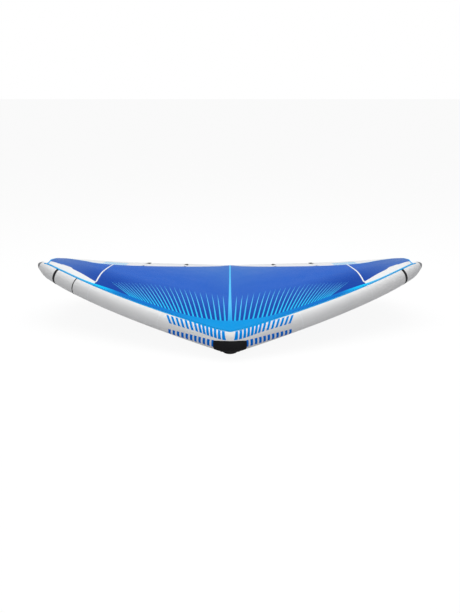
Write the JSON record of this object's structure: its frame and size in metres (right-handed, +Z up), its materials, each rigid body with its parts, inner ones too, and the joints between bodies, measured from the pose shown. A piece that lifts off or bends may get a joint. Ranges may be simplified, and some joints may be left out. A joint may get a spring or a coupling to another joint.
{
  "type": "wingfoil wing",
  "caption": "Hand-held inflatable wing: a white swept tube and strut under a blue canopy, with swinging handles, an inflation valve and a pump hose.",
  "frame": {"origin": "middle of the wing's length and span, at the height of its lowest point, the nose handle's underside", "axes": "+X along the span to the right seen from behind, +Y from nose to trailing edge, +Z up"},
  "size_m": [3.7692, 2.3563, 0.6194],
  "materials": {
    "white_dacron": "matt white woven polyester",
    "blue_ripstop": "royal blue ripstop with a slight sheen",
    "cyan_tape": "light blue tape and piping",
    "white_ripstop": "white ripstop",
    "bladder_tpu": "clear film, hidden",
    "black_webbing": "black webbing",
    "black_foam": "black padded fabric",
    "black_rubber": "black rubber",
    "grey_plastic": "dark grey moulded plastic",
    "carbon_batten": "black pultruded batten",
    "clear_hose": "milky silicone hose"
  },
  "bodies": {
    "wing": {"arc_seam_tape_left": "white_ripstop", "arc_seam_tape_right": "white_ripstop", "batten_1_left": "carbon_batten", "batten_1_right": "carbon_batten", "batten_2_left": "carbon_batten", "batten_2_right": "carbon_batten", "batten_pocket_1_left": "white_ripstop", "batten_pocket_1_right": "white_ripstop", "batten_pocket_2_left": "white_ripstop", "batten_pocket_2_right": "white_ripstop", "canopy_main_left": "blue_ripstop", "canopy_main_right": "blue_ripstop", "canopy_rear_panel_left": "white_ripstop", "canopy_rear_panel_right": "white_ripstop", "canopy_tip_left": "blue_ripstop", "canopy_tip_right": "blue_ripstop", "canopy_wedge_left": "white_ripstop", "canopy_wedge_right": "white_ripstop", "centre_stripe_tape": "cyan_tape", "front_handle_patch": "black_webbing", "hose_fitting_leading_edge": "grey_plastic", "hose_fitting_strut": "grey_plastic", "inflation_valve_body": "grey_plastic", "leading_edge_bladder": "bladder_tpu", "leading_edge_piping_left": "cyan_tape", "leading_edge_piping_right": "cyan_tape", "leading_edge_sleeve_centre": "white_dacron", "leading_edge_sleeve_inner_left": "white_dacron", "leading_edge_sleeve_inner_right": "white_dacron", "leading_edge_sleeve_mid_left": "white_dacron", "leading_edge_sleeve_mid_right": "white_dacron", "leading_edge_sleeve_outer_left": "white_dacron", "leading_edge_sleeve_outer_right": "white_dacron", "leading_edge_sleeve_tip_left": "white_dacron", "leading_edge_sleeve_tip_right": "white_dacron", "leash_loop_patch": "black_webbing", "nose_pad": "black_foam", "pinch_clip_body": "grey_plastic", "pump_hose": "clear_hose", "rear_handle_patch": "black_webbing", "strut_bladder": "bladder_tpu", "strut_rear_cap": "black_rubber", "strut_sleeve": "white_dacron", "strut_zip_tape": "black_webbing", "tip_pad_left": "black_rubber", "tip_pad_right": "black_rubber", "tip_seam_tape_left": "black_webbing", "tip_seam_tape_right": "black_webbing"},
    "nose_handle": {"nose_handle_strap": "black_webbing", "nose_handle_grip": "black_foam"},
    "front_handle": {"front_handle_strap": "black_webbing", "front_handle_grip": "black_foam"},
    "rear_handle": {"rear_handle_strap": "black_webbing", "rear_handle_grip": "black_foam"},
    "leash": {"leash_loop": "black_webbing"},
    "valve_cap": {"inflation_valve_cap": "black_rubber"},
    "valve_plunger": {"inflation_valve_plunger": "black_rubber"},
    "clip_lever": {"pinch_clip_lever": "black_rubber"},
    "zip_slider_body": {"zip_slider": "grey_plastic"},
    "zip_pull_body": {"zip_pull": "black_webbing"}
  },
  "joints": [
    {"name": "nose_handle_swing", "type": "hinge", "parent": "wing", "child": "nose_handle", "pos_m": [0, -1.05883, 0.043], "axis": [1, 0, 0], "range_deg": [-45, 45]},
    {"name": "front_handle_swing", "type": "hinge", "parent": "wing", "child": "front_handle", "pos_m": [0, -0.13174, 0.18051], "axis": [0, 0.9991, 0.042], "range_deg": [-60, 60]},
    {"name": "rear_handle_swing", "type": "hinge", "parent": "wing", "child": "rear_handle", "pos_m": [0, 0.37826, 0.20196], "axis": [0, 0.9991, 0.042], "range_deg": [-60, 60]},
    {"name": "leash_loop_swing", "type": "hinge", "parent": "wing", "child": "leash", "pos_m": [0, -0.51154, 0.16051], "axis": [0, 0.9969, 0.0783], "range_deg": [-60, 60]},
    {"name": "valve_cap_hinge", "type": "hinge", "parent": "wing", "child": "valve_cap", "pos_m": [0.41424, -0.78678, 0.15768], "axis": [-0.8703, -0.4646, -0.1635], "range_deg": [0, 120]},
    {"name": "valve_plunger_slide", "type": "slide", "parent": "wing", "child": "valve_plunger", "axis": [-0.3935, 0.8555, -0.3367], "range_m": [-0.005, 0], "stiffness_N_per_m": 300, "springref_m": 0.002},
    {"name": "pinch_clip_hinge", "type": "hinge", "parent": "wing", "child": "clip_lever", "pos_m": [-0.13825, -0.80114, 0.13127], "axis": [-0.8573, -0.2154, 0.4675], "range_deg": [0, 100]},
    {"name": "zip_slider_slide", "type": "slide", "parent": "wing", "child": "zip_slider_body", "axis": [-0.0159, 0.9994, 0.0306], "range_m": [0, 0.56]},
    {"name": "zip_pull_hinge", "type": "hinge", "parent": "zip_slider_body", "child": "zip_pull_body", "pos_m": [0.07169, -0.3548, 0.2234], "axis": [-0.3425, 0.0233, -0.9392], "range_deg": [0, 150]}
  ]
}
